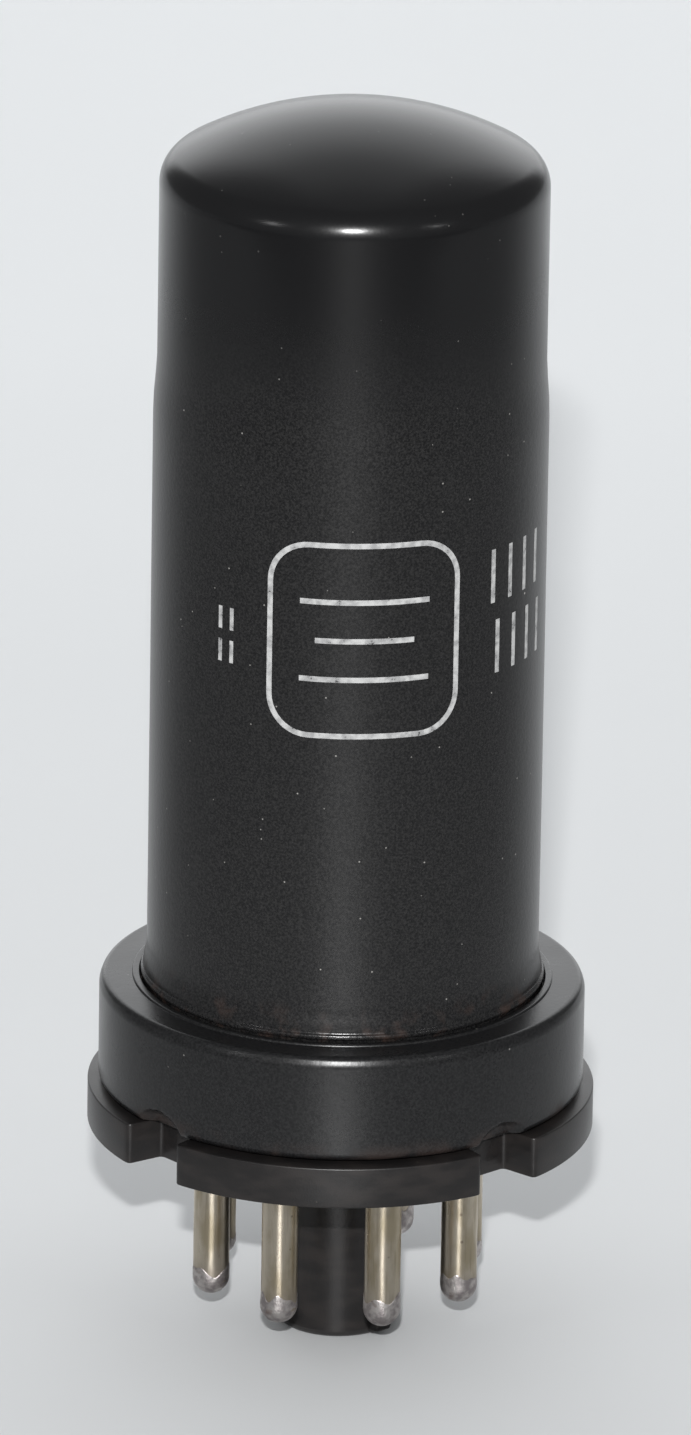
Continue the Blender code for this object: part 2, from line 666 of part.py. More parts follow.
def lead_path(number):
    """Each lead rises from its pin's solder through its glass bead and turns in to its electrode."""
    foot = around(pin_angle(number), PIN_CIRCLE_RADIUS, PIN_TIP_Z + SOLDER_CAP + 2 * CLEAR)
    if number == 1:  # welded to the header's underside, so that pin 1 earths the can
        return [foot, Vector((foot.x, foot.y, HEADER_BOTTOM_Z - CLEAR))]
    reach = LEAD_RADIUS + CLEAR
    rod_x = {name: values[0] for name, values in GRIDS.items()}
    rod_r = {name: values[2] for name, values in GRIDS.items()}
    plate_tab = Vector((0, -(PLATE_HALF_DEPTH + reach), LOWER_MICA_Z - PLATE_TAB_REACH / 2))
    heater_gap = HEATER_RADIUS + reach
    targets = {  # pin: the point beside its electrode
        2: heater_end(1) + Vector((heater_gap, 0, 0)),
        3: Vector((rod_x["suppressor_grid"], rod_r["suppressor_grid"] + reach, rod_low() + reach)),
        4: Vector((rod_x["control_grid"], rod_r["control_grid"] + reach, rod_low() + reach)),
        5: Vector((0, CATHODE_RADIUS + reach, rod_low() + reach)),
        6: Vector((-rod_x["screen_grid"], rod_r["screen_grid"] + reach, rod_low() + reach)),
        7: heater_end(-1) - Vector((heater_gap, 0, 0)),
        8: plate_tab,
    }
    end = targets[number]
    return rounded_path([foot, (foot.x, foot.y, end.z), end], 1.2 * mm, 3)


def getter(parent):
    """The getter cup on its bent wire, over the spacer shield."""
    wire_x = 5.0 * mm
    foot_z = SUPPORT_TOP_Z + PLATE_WALL + 2 * CLEAR
    cup_foot = GETTER_Z - 2 * CLEAR
    corners = [(wire_x, 0, foot_z), (wire_x, 0, cup_foot - LEAD_RADIUS), (0, 0, cup_foot - LEAD_RADIUS)]
    path = rounded_path(corners, 1.5 * mm, 3)
    link("getter_support", wire_curve("getter_support", path, LEAD_RADIUS, 1), "nickel", parent)
    wall = 0.25 * mm
    rim_z = GETTER_Z + 1.3 * mm
    cup = [
        (0, GETTER_Z),
        (GETTER_RADIUS, GETTER_Z),
        (GETTER_RADIUS, rim_z),
        (GETTER_RADIUS - wall, rim_z),
        (GETTER_RADIUS - wall, GETTER_Z + wall),
        (0, GETTER_Z + wall),
    ]
    link("getter_cup", turned("getter_cup", cup, ROUND), "nickel", parent)


def supports_and_shields(parent):
    """The two side supports that stand on the header, the stem shield and the spacer shield."""
    for side, name in ((-1, "mount_support_left"), (1, "mount_support_right")):
        bm = bmesh.new()
        rod(bm, 0, 0, SUPPORT_RADIUS, HEADER_TOP_Z + CLEAR, SUPPORT_TOP_Z, WIRE_SIDES)
        link(name, mesh_from(bm, name), "nickel", parent, (side * SUPPORT_X, 0, 0))
    low = HEADER_TOP_Z + CLEAR
    high = low + STEM_SHIELD_HEIGHT
    foot = 0.25 * mm
    stem = [
        (STEM_SHIELD_RADIUS - foot, low),
        (STEM_SHIELD_RADIUS + 0.6 * mm, low),
        (STEM_SHIELD_RADIUS + 0.6 * mm, low + foot),
        (STEM_SHIELD_RADIUS, low + foot),
        (STEM_SHIELD_RADIUS, high),
        (STEM_SHIELD_RADIUS - foot, high),
    ]
    link("stem_shield", turned("stem_shield", stem, ROUND * 2, ring=True), "nickel", parent)
    disc_z = SUPPORT_TOP_Z + CLEAR
    shield = [
        (1.6 * mm, disc_z),
        (SPACER_SHIELD_RADIUS, disc_z),
        (SPACER_SHIELD_RADIUS, disc_z + PLATE_WALL),
        (1.6 * mm, disc_z + PLATE_WALL),
    ]
    link("spacer_shield", turned("spacer_shield", shield, ROUND * 2, ring=True), "nickel", parent)


def pins_and_seals(parent):
    """Eight pins with their solder and leads, and a glass-sealed eyelet on all but the earthed pin 1."""
    pin, solder, eyelet, bead = pin_mesh(), solder_mesh(), eyelet_mesh(), glass_bead_mesh()
    for number in range(1, PIN_COUNT + 1):
        place = around(pin_angle(number), PIN_CIRCLE_RADIUS)
        link(f"base_pin_{number}", pin, "plated_brass", parent, place)
        link(f"pin_solder_{number}", solder, "solder", parent, place)
        if number > 1:
            link(f"eyelet_{number}", eyelet, "eyelet_alloy", parent, place)
            link(f"glass_bead_{number}", bead, "seal_glass", parent, place)
        name = f"lead_wire_{number}"
        link(name, wire_curve(name, lead_path(number), LEAD_RADIUS, 1), "copper_wire", parent)


def build():
    clear_scene()
    tube = empty("tube_axis")
    tube.rotation_euler.z = radians(KEY_TURN)
    base = empty("base_assembly", tube)
    mount = empty("mount_assembly", tube)

    link("shell", shell_mesh(), "black_enamel", tube)
    link("header_skirt", skirt_mesh(), "black_enamel", tube)
    header(tube)
    link("exhaust_tube", exhaust_tube_mesh(), "header_steel", tube)

    octal_base(base)
    pins_and_seals(base)

    mica("lower_mica_spacer", LOWER_MICA_Z, mount)
    mica("upper_mica_spacer", UPPER_MICA_Z, mount)
    for name in GRIDS:
        grid(name, mount)
    plate(mount)
    cathode(mount)
    link("heater", wire_curve("heater", heater_path(), HEATER_RADIUS, 0), "heater_alumina", mount)
    supports_and_shields(mount)
    getter(mount)


build()
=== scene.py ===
"""The looks of a metal-envelope vacuum tube: enamelled shell and skirt, moulded base, pins and mount.

Metres, +Z up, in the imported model's frame. Angles round the tube's axis run from -Y towards +X.
"""

import json
from math import atan2, ceil, cos, hypot, pi, radians, sin, tan

import bmesh
import bpy
from mathutils import Matrix, Quaternion, Vector, noise


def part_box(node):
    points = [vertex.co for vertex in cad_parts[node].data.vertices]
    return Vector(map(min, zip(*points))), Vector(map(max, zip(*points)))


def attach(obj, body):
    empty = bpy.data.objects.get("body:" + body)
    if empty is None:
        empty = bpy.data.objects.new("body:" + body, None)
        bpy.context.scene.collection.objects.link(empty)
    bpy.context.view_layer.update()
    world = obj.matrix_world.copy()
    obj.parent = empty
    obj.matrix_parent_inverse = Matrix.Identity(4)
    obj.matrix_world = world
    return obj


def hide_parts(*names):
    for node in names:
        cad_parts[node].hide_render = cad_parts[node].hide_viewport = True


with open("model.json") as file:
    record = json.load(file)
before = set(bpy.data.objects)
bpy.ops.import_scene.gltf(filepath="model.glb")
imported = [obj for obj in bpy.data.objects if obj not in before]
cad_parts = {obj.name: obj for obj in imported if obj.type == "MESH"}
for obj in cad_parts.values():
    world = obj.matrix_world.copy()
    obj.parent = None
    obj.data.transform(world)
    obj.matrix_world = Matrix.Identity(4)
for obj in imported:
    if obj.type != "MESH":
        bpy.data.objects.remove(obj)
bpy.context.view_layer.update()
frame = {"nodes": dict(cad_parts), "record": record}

mm = 0.001


def middle(node):
    low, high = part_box(node)
    return (low + high) / 2


def angle_of(place):
    return atan2(place.x, -place.y)


# Places read from the frame
SEAT_Z = next(m["pos_m"][2] for m in frame["record"]["mounts"] if m["name"] == "socket_seat")
PIN_NUMBERS = range(1, 9)
PIN_PITCH = 2 * pi / len(PIN_NUMBERS)
PIN_PLACES = {number: middle(f"base_pin_{number}") for number in PIN_NUMBERS}
PIN_HEAD_TOP_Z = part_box("base_pin_1")[1].z
PIN_END_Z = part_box("base_pin_1")[0].z
SOLDER_TIP_Z, SOLDER_FILL_Z = (corner.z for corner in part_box("pin_solder_1"))
KEY_ANGLE = angle_of(PIN_PLACES[1]) - PIN_PITCH / 2
NOTCH_ANGLES = [KEY_ANGLE + turn * pi / 2 for turn in range(4)]
SHELL_FOOT_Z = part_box("shell")[0].z
SHELL_TOP_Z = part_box("shell")[1].z
SHELL_FLANGE_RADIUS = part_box("shell")[1].x
SKIRT_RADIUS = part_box("header_skirt")[1].x
SKIRT_TOP_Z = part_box("header_skirt")[1].z
WAFER_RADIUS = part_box("octal_base")[1].x
BOSS_TOP_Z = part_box("octal_base")[1].z

# Shell
SHELL_RADIUS = 12.7 * mm
SHELL_UPPER_RADIUS = 12.48 * mm
SHELL_WALL = 0.6 * mm
SHELL_NECK_RADIUS = 12.93 * mm  # where the foot goes down through the skirt's lip
BEAD_RADIUS = 13.08 * mm
BEAD_Z = SKIRT_TOP_Z + 0.39 * mm
BEAD_HALF_HEIGHT = 0.2 * mm
BEAD_TOP_Z = SKIRT_TOP_Z + 2.3 * mm
FLARE_START_Z = BEAD_Z + 0.28 * mm
FLANGE = 0.6 * mm
STEP_Z = SEAT_Z + 50.47 * mm
STEP_HEIGHT = 3.8 * mm
SHOULDER_RADIUS = 2.2 * mm
SHOULDER_Z = SEAT_Z + 63.68 * mm
WAVINESS = 0.012 * mm

# Header skirt
SKIRT_WALL = 0.75 * mm
SKIRT_LIP_RADIUS = 13.12 * mm
LIP_RISE = 0.14 * mm
SKIRT_BEND_Z = SKIRT_TOP_Z - 3 * mm  # the wall is plain below this height
CRIMP_HALF_WIDTH = 1.95 * mm
CRIMP_HEIGHT = 1.3 * mm
CRIMP_DEPTH = 0.9 * mm

# Moulded base
PLUG_RADIUS = 3.97 * mm
PLUG_BORE_RADIUS = 2.9 * mm
PLUG_FLOOR = 1.2 * mm
PLUG_EDGE = 0.5 * mm
RIB_REACH = 4.75 * mm
RIB_WIDTH = 1.35 * mm
WAFER_TOP_Z = SEAT_Z + 2.72 * mm
SKIRT_BOTTOM_Z = WAFER_TOP_Z + 0.2 * mm
BOSS_RADIUS = 14.8 * mm
NOTCH_FLOOR_RADIUS = 13.85 * mm
NOTCH_HALF_ANGLE = radians(7.9)
NOTCH_TOP_Z = WAFER_TOP_Z + 1.8 * mm

# Pins
PIN_RADIUS = 1.18 * mm
PIN_BORE_RADIUS = 0.75 * mm
PIN_HEAD_RADIUS = 1.7 * mm
PIN_HEAD = 0.35 * mm
FILM = 0.025 * mm  # thickness of the solder on the pin's outside
CLEAR = 0.05 * mm
SOLDER_CAP = 1.18 * mm
SOLDER_BAND = 0.8 * mm  # how far the film reaches above the round end
SOLDER_RUN = 0.9 * mm  # how unevenly it ends

# Printed mark: a plain framed label on the shell, with dashes beside it
MARK_ANGLE = radians(8.0)
MARK_Z = SEAT_Z + 37.2 * mm
STROKE = 0.36 * mm

# Studio
CAMERA_ANGLE = radians(3.0)
CAMERA_ELEVATION = radians(19.2)
CAMERA_DISTANCE = 0.984
CAMERA_LEAN = radians(0.93)
CAMERA_TARGET = Vector((0, 0, 48.97 * mm))
CAMERA_SHIFT = Vector((0.055 * mm, 7.0 * mm, 0))  # of the tube's middle from the view's
LENS = 383.7
LIGHT_TARGET = Vector((0, 0, 45 * mm))
FLASH_OFFSET = Vector((-8 * mm, 92 * mm, 0))  # from the lens
FLASH_WATTS = 8.6
SIDE_LIGHT_TURN = radians(50)
SHEET_TINT = (0.975, 0.99, 1.0)
BLACK = (0, 0, 0)

# Fineness
ROUND = 192
PIN_SIDES = 48


# ---------------------------------------------------------------- shapes


def even(count):
    """Angles that split the full turn into that many equal parts."""
    return [2 * pi * i / count for i in range(count)]


def smooth(value, start, end):
    """0 at start and 1 at end, with a soft rise between them."""
    share = min(max((value - start) / (end - start), 0), 1)
    return share * share * (3 - 2 * share)


def arc(centre, radius, start, end, steps):
    """Points of an arc, with its angles in degrees from +x towards +y."""
    turns = [radians(start + (end - start) * i / steps) for i in range(steps + 1)]
    return [(centre[0] + radius * cos(turn), centre[1] + radius * sin(turn)) for turn in turns]


def rounded(corners, closed=False, steps=5):
    """The line through (x, y, radius) corners, with an arc of that radius in each of them."""
    points = []
    last = len(corners) - 1
    for i, (x, y, radius) in enumerate(corners):
        corner = Vector((x, y))
        if radius == 0 or (not closed and i in (0, last)):
            points.append(corner)
            continue
        before = (Vector(corners[i - 1][:2]) - corner).normalized()
        after = (Vector(corners[(i + 1) % len(corners)][:2]) - corner).normalized()
        half = before.angle(after) / 2
        centre = corner + (before + after).normalized() * radius / sin(half)
        start = corner + before * radius / tan(half) - centre
        end = corner + after * radius / tan(half) - centre
        spread = start.angle(end)
        for step in range(steps + 1):
            share = step / steps
            turned_to = start * sin((1 - share) * spread) + end * sin(share * spread)
            points.append(centre + turned_to / sin(spread))
    return [(point.x, point.y) for point in points]


def turned(profile, angles, closed=True, shape=None):
    """A turned mesh of the (radius, z) profile. shape(radius, angle, z) may move each of its points."""
    bm = bmesh.new()
    rows = []
    for radius, z in profile:
        if radius == 0:
            rows.append([bm.verts.new((0, 0, z))] * len(angles))
            continue
        row = []
        for angle in angles:
            out, height = shape(radius, angle, z) if shape else (radius, z)
            row.append(bm.verts.new((out * sin(angle), -out * cos(angle), height)))
        rows.append(row)
    stitched = list(zip(rows, rows[1:]))
    if closed:
        stitched.append((rows[-1], rows[0]))
    for low, high in stitched:
        for i in range(len(angles)):
            corners = list(dict.fromkeys((low[i - 1], low[i], high[i], high[i - 1])))
            if len(corners) > 2:
                bm.faces.new(corners)
    bmesh.ops.recalc_face_normals(bm, faces=bm.faces)
    return bm


def lofted(outlines):
    """A closed mesh through outlines of equally many (x, y, z) points, capped at both ends."""
    bm = bmesh.new()
    rows = [[bm.verts.new(point) for point in outline] for outline in outlines]
    for low, high in zip(rows, rows[1:]):
        for i in range(len(low)):
            bm.faces.new((low[i - 1], low[i], high[i], high[i - 1]))
    bm.faces.new(rows[0])
    bm.faces.new(rows[-1])
    bmesh.ops.recalc_face_normals(bm, faces=bm.faces)
    return bm


def prism(outline, low, high):
    return lofted([[(x, y, z) for x, y in outline] for z in (low, high)])


def mesh_object(name, bm, crease=35):
    mesh = bpy.data.meshes.new(name)
    bm.to_mesh(mesh)
    bm.free()
    mesh.shade_smooth()
    mesh.set_sharp_from_angle(angle=radians(crease))
    obj = bpy.data.objects.new(name, mesh)
    bpy.context.scene.collection.objects.link(obj)
    return obj


def fit_out(obj, finish, nodes=()):
    """Gives a piece its finish, and lets it ride on the tube in place of the plain nodes."""
    obj.data.materials.clear()
    obj.data.materials.append(finish)
    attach(obj, "root")
    if nodes:
        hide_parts(*nodes)
    return obj


def combine(obj, bm, operation):
    """Cuts the mesh out of the object, or joins it on, and removes the mesh."""
    other = mesh_object("tool", bm)
    change = obj.modifiers.new("combine", "BOOLEAN")
    change.operation = operation
    change.solver = "EXACT"
    change.object = other
    apply_modifiers(obj)
    bpy.data.objects.remove(other)


def apply_modifiers(obj):
    graph = bpy.context.evaluated_depsgraph_get()
    done = bpy.data.meshes.new_from_object(obj.evaluated_get(graph))
    obj.modifiers.clear()
    obj.data = done


def around(angle, radius, z=0.0):
    return Vector((radius * sin(angle), -radius * cos(angle), z))


# ---------------------------------------------------------------- finishes


class Value:
    """One value in a recipe. Arithmetic on it adds Math nodes."""

    def __init__(self, recipe, socket):
        self.recipe = recipe
        self.socket = socket

    def maths(self, operation, *terms):
        return self.recipe.node("Math", {"operation": operation}, dict(enumerate(terms)))

    def __add__(self, other):
        return self.maths("ADD", self, other)

    def __radd__(self, other):
        return self.maths("ADD", other, self)

    def __sub__(self, other):
        return self.maths("SUBTRACT", self, other)

    def __rsub__(self, other):
        return self.maths("SUBTRACT", other, self)

    def __mul__(self, other):
        return self.maths("MULTIPLY", self, other)

    def __rmul__(self, other):
        return self.maths("MULTIPLY", other, self)

    def __truediv__(self, other):
        return self.maths("DIVIDE", self, other)

    def size(self):
        return self.maths("ABSOLUTE", self)

    def rise(self, start, end):
        """0 at start and 1 at end, with a soft rise between them."""
        return self.recipe.node(
            "MapRange",
            {"interpolation_type": "SMOOTHSTEP"},
            {"Value": self, "From Min": start, "From Max": end},
        )


class Recipe:
    """A node tree, and the calls that fill it."""

    def __init__(self, tree):
        self.tree = tree

    def node(self, kind, settings=None, inputs=None, output=0):
        """A new node of that type, with its settings made first and then its sockets fed."""
        made = self.tree.nodes.new(f"ShaderNode{kind}")
        for name, value in (settings or {}).items():
            if name == "stops":
                self.set_stops(made.color_ramp, value)
            else:
                setattr(made, name, value)
        for name, value in (inputs or {}).items():
            self.feed(made.inputs[name], value)
        return Value(self, made.outputs[output])

    @staticmethod
    def set_stops(ramp, stops):
        while len(ramp.elements) < len(stops):
            ramp.elements.new(1.0)
        for element, (position, grey) in zip(ramp.elements, stops):
            element.position = position
            element.color = (grey, grey, grey, 1)

    def feed(self, socket, value):
        if isinstance(value, Value):
            self.tree.links.new(value.socket, socket)
        elif socket.type == "RGBA":
            socket.default_value = (*value, 1.0)
        else:
            socket.default_value = value

    def place(self):
        return self.node("TexCoord", output="Object")

    def parts(self, vector):
        """The x, y and z of a vector."""
        split = self.node("SeparateXYZ", None, {0: vector})
        return [Value(self, socket) for socket in split.socket.node.outputs]

    def stretched(self, stretch, shift=0.0):
        """The place, scaled along each axis and moved aside so that two patterns differ."""
        settings = {"operation": "MULTIPLY_ADD"}
        return self.node("VectorMath", settings, {0: self.place(), 1: stretch, 2: (shift, shift, shift)})

    def grain(self, size, detail=3.0, stretch=(1, 1, 1), shift=0.0):
        """Cloudy noise around 0.5, whose patches are about that size."""
        inputs = {"Vector": self.stretched(stretch, shift), "Scale": 1 / size, "Detail": detail}
        return self.node("TexNoise", None, inputs)

    def specks(self, spacing, radius, share, shift=0.0):
        """1 in small round spots, one to a cell of that spacing, in that share of the cells."""
        inputs = {"Vector": self.stretched((1, 1, 1), shift), "Scale": 1 / spacing}
        cells = self.node("TexVoronoi", None, inputs)
        near = cells.rise(radius / spacing, 0.4 * radius / spacing)
        red = self.node("SeparateColor", None, {0: Value(self, cells.socket.node.outputs["Color"])})
        return near * red.rise(share, share * 0.9)

    def mix(self, share, first, second):
        """The first colour where share is 0, and the second where it is 1."""
        return self.node("Mix", {"data_type": "RGBA"}, {0: share, 6: first, 7: second}, 2)

    def bump(self, height, distance):
        return self.node("Bump", None, {"Height": height, "Distance": distance})


class Finish(Recipe):
    """A piece's finish: a Principled shader and the recipe that feeds it."""

    def __init__(self, name, **constants):
        self.material = bpy.data.materials.new(name)
        self.material.use_nodes = True
        super().__init__(self.material.node_tree)
        self.shader = self.tree.nodes["Principled BSDF"]
        for socket, value in constants.items():
            self.feed(self.shader.inputs[socket.replace("_", " ")], value)

    def wear(self, colour, roughness, height=None, depth=0.0, **more):
        """Feeds the shader what varies over the surface, and returns the material."""
        self.feed(self.shader.inputs["Base Color"], colour)
        self.feed(self.shader.inputs["Roughness"], roughness)
        if height:
            self.feed(self.shader.inputs["Normal"], self.bump(height, depth))
        for socket, value in more.items():
            self.feed(self.shader.inputs[socket.replace("_", " ")], value)
        return self.material


RUST = (0.06, 0.033, 0.024)
DUST = (0.32, 0.31, 0.29)


def shell_enamel():
    """Glossy black at the domed end, powdery below the step, with dust, rust and a rubbed bead."""
    f = Finish("shell_enamel")
    z = f.parts(f.place())[2]
    cloud = f.grain(6 * mm, 3)
    powder = (z + (cloud - 0.5) * (5 * mm)).rise(STEP_Z + 8.5 * mm, STEP_Z - 1.0 * mm)
    fine = f.grain(0.14 * mm, 2)
    hazy = (z + (cloud - 0.5) * (5 * mm)).rise(STEP_Z + 12.5 * mm, STEP_Z + 2.0 * mm)
    dull = f.mix(fine.rise(0.3, 0.75), (0.0055, 0.0055, 0.006), (0.021, 0.0205, 0.0205))
    colour = f.mix(powder, (0.007, 0.007, 0.0075), dull)
    pale = f.specks(0.8 * mm, 0.075 * mm, 0.22) * (0.25 + 0.75 * powder)
    colour = f.mix(pale * 0.8, colour, DUST)
    crumbs = f.specks(3.1 * mm, 0.11 * mm, 0.35, 3.3)
    colour = f.mix(crumbs * 0.85, colour, (0.45, 0.43, 0.4))
    near_foot = z.rise(BEAD_TOP_Z + 0.6 * mm, BEAD_Z - 0.2 * mm)
    rust = near_foot * f.grain(1.3 * mm, 4, shift=1.7).rise(0.5, 0.75)
    colour = f.mix(rust * 0.5, colour, RUST)
    rubbed = z.rise(BEAD_Z + 0.6 * mm, BEAD_Z + 0.2 * mm)
    roughness = 0.22 + 0.095 * hazy + 0.08 * (fine - 0.5) + 0.2 * rust + 0.3 * pale
    roughness = roughness - 0.09 * rubbed
    height = f.grain(0.35 * mm, 3, shift=5.1) * (0.35 + powder) + fine * powder * 0.6
    return f.wear(colour, roughness, height, 0.009 * mm)


def skirt_enamel():
    """Black enamel that is worn brown at the lower edge and in the crimps."""
    f = Finish("skirt_enamel")
    z = f.parts(f.place())[2]
    fine = f.grain(0.16 * mm, 2)
    cloud = f.grain(3 * mm, 4, shift=2.2)
    colour = f.mix(fine.rise(0.3, 0.75), (0.006, 0.006, 0.0065), (0.016, 0.016, 0.0165))
    edge = z.rise(SKIRT_BOTTOM_Z + 1.5 * mm, SKIRT_BOTTOM_Z - 0.1 * mm)
    rust = edge * cloud.rise(0.42, 0.62)
    colour = f.mix(rust * 0.35, colour, RUST)
    pale = f.specks(1.1 * mm, 0.08 * mm, 0.2, 7.0)
    colour = f.mix(pale * 0.6, colour, DUST)
    roughness = 0.26 + 0.1 * (cloud - 0.5) + 0.08 * fine + 0.3 * rust
    return f.wear(colour, roughness, f.grain(0.4 * mm, 3, shift=5.1) + fine * 0.4, 0.008 * mm)


def phenolic():
    """Brown-black moulded phenolic with faint flow marks and scuffed edges."""
    f = Finish("moulded_phenolic")
    flow = f.grain(2.4 * mm, 4, (1, 1, 2.5), 4.0)
    fine = f.grain(0.12 * mm, 2, shift=9.0)
    colour = f.mix(flow.rise(0.35, 0.7), (0.0115, 0.0105, 0.0105), (0.0205, 0.0175, 0.0165))
    scuff = f.specks(0.9 * mm, 0.07 * mm, 0.15, 6.0)
    colour = f.mix(scuff * 0.5, colour, (0.14, 0.12, 0.1))
    roughness = 0.26 + 0.12 * flow + 0.1 * fine
    return f.wear(colour, roughness, fine + flow * 0.5, 0.006 * mm)


def worn_metal(name, clean, dark, roughness, stretch=(1, 1, 1), stain=0.5):
    """Bare or plated metal with drawing lines and patches of tarnish."""
    f = Finish(name, Metallic=1.0)
    patch = f.grain(1.2 * mm, 4, shift=2.5)
    lines = f.grain(0.1 * mm, 2, stretch)
    tarnish = patch.rise(0.48, 0.72) * stain
    colour = f.mix(tarnish, clean, dark)
    colour = f.mix(lines.rise(0.55, 0.85) * 0.25, colour, dark)
    return f.wear(colour, roughness + 0.25 * tarnish + 0.1 * (lines - 0.5), lines + patch, 0.004 * mm)


def plated_brass():
    """Pale nickel plate over brass, yellower where it has worn, with a dull ring over the solder."""
    f = Finish("plated_brass", Metallic=1.0)
    z = f.parts(f.place())[2]
    patch = f.grain(1.4 * mm, 4, (1, 1, 0.45), 2.5)
    lines = f.grain(0.16 * mm, 2, (1, 1, 0.06))
    spots = f.specks(0.9 * mm, 0.14 * mm, 0.18, 8.0)
    colour = f.mix(patch.rise(0.4, 0.65), (0.66, 0.59, 0.48), (0.5, 0.43, 0.31))
    colour = f.mix(lines.rise(0.5, 0.8) * 0.45, colour, (0.33, 0.27, 0.2))
    colour = f.mix(spots * 0.6, colour, (0.16, 0.12, 0.1))
    low = z.rise(PIN_END_Z + 2.3 * mm, PIN_END_Z + 0.7 * mm)
    colour = f.mix(low * 0.4, colour, (0.3, 0.25, 0.24))
    roughness = 0.23 + 0.16 * patch + 0.15 * low + 0.1 * (lines - 0.5)
    return f.wear(colour, roughness, lines + patch * 0.6, 0.006 * mm)


def tin_solder():
    """Dull grey solder, oxidised in patches, with a trace of flux."""
    f = Finish("tin_solder", Metallic=1.0)
    patch = f.grain(0.5 * mm, 4, shift=3.0)
    fine = f.grain(0.12 * mm, 3, shift=1.0)
    colour = f.mix(patch.rise(0.35, 0.65), (0.68, 0.64, 0.62), (0.4, 0.36, 0.36))
    flux = f.grain(0.8 * mm, 2, shift=11.0).rise(0.62, 0.72)
    colour = f.mix(flux * 0.4, colour, (0.25, 0.15, 0.11))
    return f.wear(colour, 0.3 + 0.25 * patch, fine + patch * 2, 0.02 * mm)


def seal_glass():
    """Blue-green sealing glass with fine bubbles."""
    f = Finish("seal_glass", Transmission_Weight=0.85, IOR=1.5)
    haze = f.grain(0.6 * mm, 3)
    bubbles = f.specks(0.35 * mm, 0.05 * mm, 0.4)
    colour = f.mix(haze.rise(0.3, 0.8), (0.34, 0.5, 0.55), (0.6, 0.72, 0.74))
    return f.wear(colour, 0.04 + 0.2 * bubbles, bubbles, 0.01 * mm)


def mica_sheet():
    """Split mica: amber, with layers that show as pale feathers and a fine cleavage sheen."""
    f = Finish("mica_sheet", Transmission_Weight=0.35, IOR=1.58)
    layers = f.grain(3.5 * mm, 5, (1, 2.2, 1), 1.0)
    flecks = f.specks(0.8 * mm, 0.1 * mm, 0.3)
    colour = f.mix(layers.rise(0.35, 0.65), (0.6, 0.48, 0.3), (0.85, 0.78, 0.64))
    colour = f.mix(flecks * 0.6, colour, (0.3, 0.2, 0.12))
    return f.wear(colour, 0.12 + 0.25 * layers, layers, 0.01 * mm)


def sprayed_powder(name, light, dark, size):
    """A matt sprayed coating of fine crystals."""
    f = Finish(name)
    crystals = f.grain(size, 4)
    patch = f.grain(2 * mm, 3, shift=4.0)
    colour = f.mix(patch.rise(0.35, 0.7), light, dark)
    return f.wear(colour, 0.85 + 0.1 * (crystals - 0.5), crystals, 0.03 * mm)


def carbonised_nickel():
    """Nickel blackened with a velvety carbon layer, thinner along the rubbed places."""
    f = Finish("carbonised_nickel")
    soot = f.grain(0.3 * mm, 4)
    rubbed = f.grain(2.5 * mm, 5, shift=6.0).rise(0.6, 0.72)
    colour = f.mix(rubbed * 0.5, (0.02, 0.02, 0.021), (0.2, 0.19, 0.17))
    return f.wear(colour, 0.78 - 0.25 * rubbed, soot, 0.01 * mm, Metallic=0.2 + 0.5 * rubbed)


def printing_ink():
    """Thin white ink, grey and broken where it has rubbed off."""
    f = Finish("printing_ink")
    rub = f.grain(0.55 * mm, 4, shift=2.0)
    fine = f.grain(0.12 * mm, 3, shift=8.0)
    colour = f.mix(rub.rise(0.35, 0.65), (0.46, 0.46, 0.455), (0.28, 0.28, 0.28))
    worn = (rub * 0.6 + fine * 0.4).rise(0.6, 0.66)
    return f.wear(colour, 0.6 + 0.2 * fine, fine, 0.01 * mm, Alpha=1 - 0.8 * worn)


def sheet_painted_shade(f, y):
    """Painted shade on the plain white sheet: its grey deepens from the back to the front."""
    stops = [(0.1, 0.69), (0.2, 0.755), (0.3, 0.76), (0.45, 0.8), (0.66, 0.89), (0.88, 0.945)]
    return f.node("ValToRGB", {"stops": stops}, {0: (y + 60 * mm) / (400 * mm)})


def floor_paint():
    """Smooth white sheet with a very faint cloudiness, and painted shade that deepens towards the front."""
    f = Finish("white_sheet", Specular_IOR_Level=0.35)
    _, y, _ = f.parts(f.place())
    cloud = f.grain(40 * mm, 3)
    colour = f.mix(sheet_painted_shade(f, y) * (0.99 + 0.02 * cloud), BLACK, SHEET_TINT)
    return f.wear(colour, 0.4 + 0.03 * cloud, f.grain(1.5 * mm, 3), 0.002 * mm)


def card_paint():
    """Painted reflection shade, which only the tube's reflections see: glossier than the sheet near the tube,
    as pale behind it, grey in front and black further off.
    """
    f = Finish("graded_card", Specular_IOR_Level=0.5)
    x, y, _ = f.parts(f.place())
    turn = x.maths("ARCTAN2", x, y).size()
    aside = turn.rise(radians(36), radians(85))
    front = turn.rise(radians(90), radians(135))
    far = (x * x + y * y).rise((40 * mm) ** 2, (110 * mm) ** 2)
    near = y.rise(-170 * mm, -140 * mm)
    # painted reflection shade: darker to the sides and in front, black beyond about 150 mm in front
    dark = aside * (0.28 + 0.38 * far) + front * (0.22 - 0.22 * far)
    grey = sheet_painted_shade(f, y) * (1 - dark) * near
    roughness = 0.46 - 0.1 * near + 0.13 * far
    return f.wear(f.mix(grey, BLACK, SHEET_TINT), roughness)


